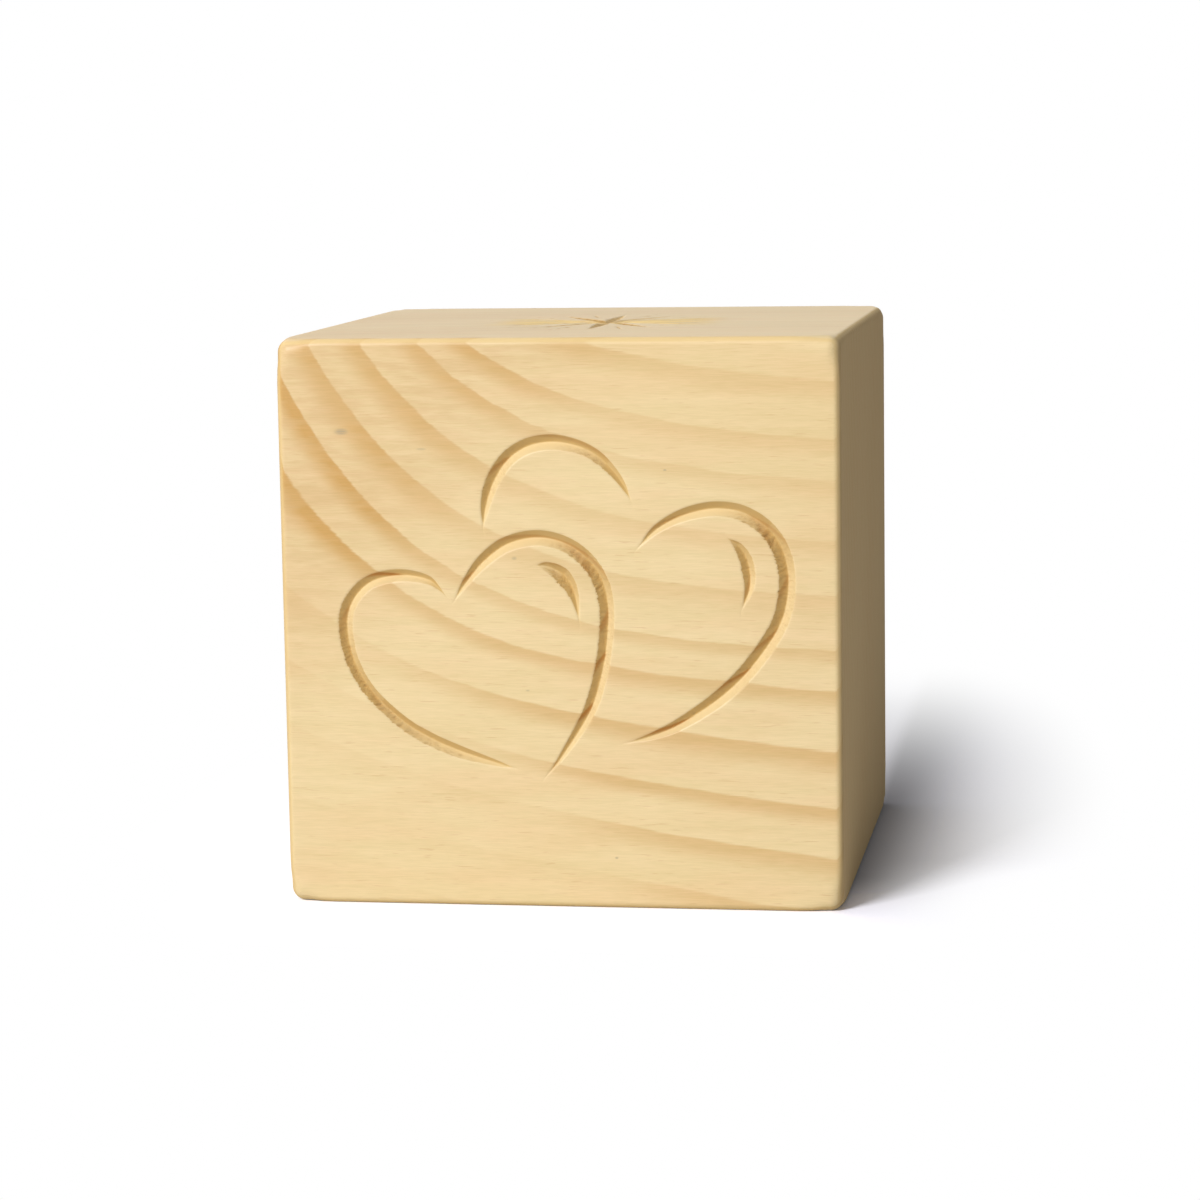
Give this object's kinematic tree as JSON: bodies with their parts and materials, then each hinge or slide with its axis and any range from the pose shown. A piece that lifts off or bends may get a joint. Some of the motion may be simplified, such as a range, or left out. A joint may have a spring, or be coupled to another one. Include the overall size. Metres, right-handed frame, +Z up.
{
  "type": "wooden cube",
  "caption": "Solid pine cube with sanded round edges, outline hearts carved into the front face and a rayed star into the top.",
  "frame": {"origin": "middle of the underside", "axes": "+Z up; the face with the hearts looks towards -Y; +X to the right of someone who looks at that face"},
  "size_m": [0.1, 0.1, 0.1015],
  "materials": {
    "pine": "pale pine, sanded smooth, satin clear finish"
  },
  "bodies": {
    "root": {"carved_block": "pine"}
  },
  "joints": []
}
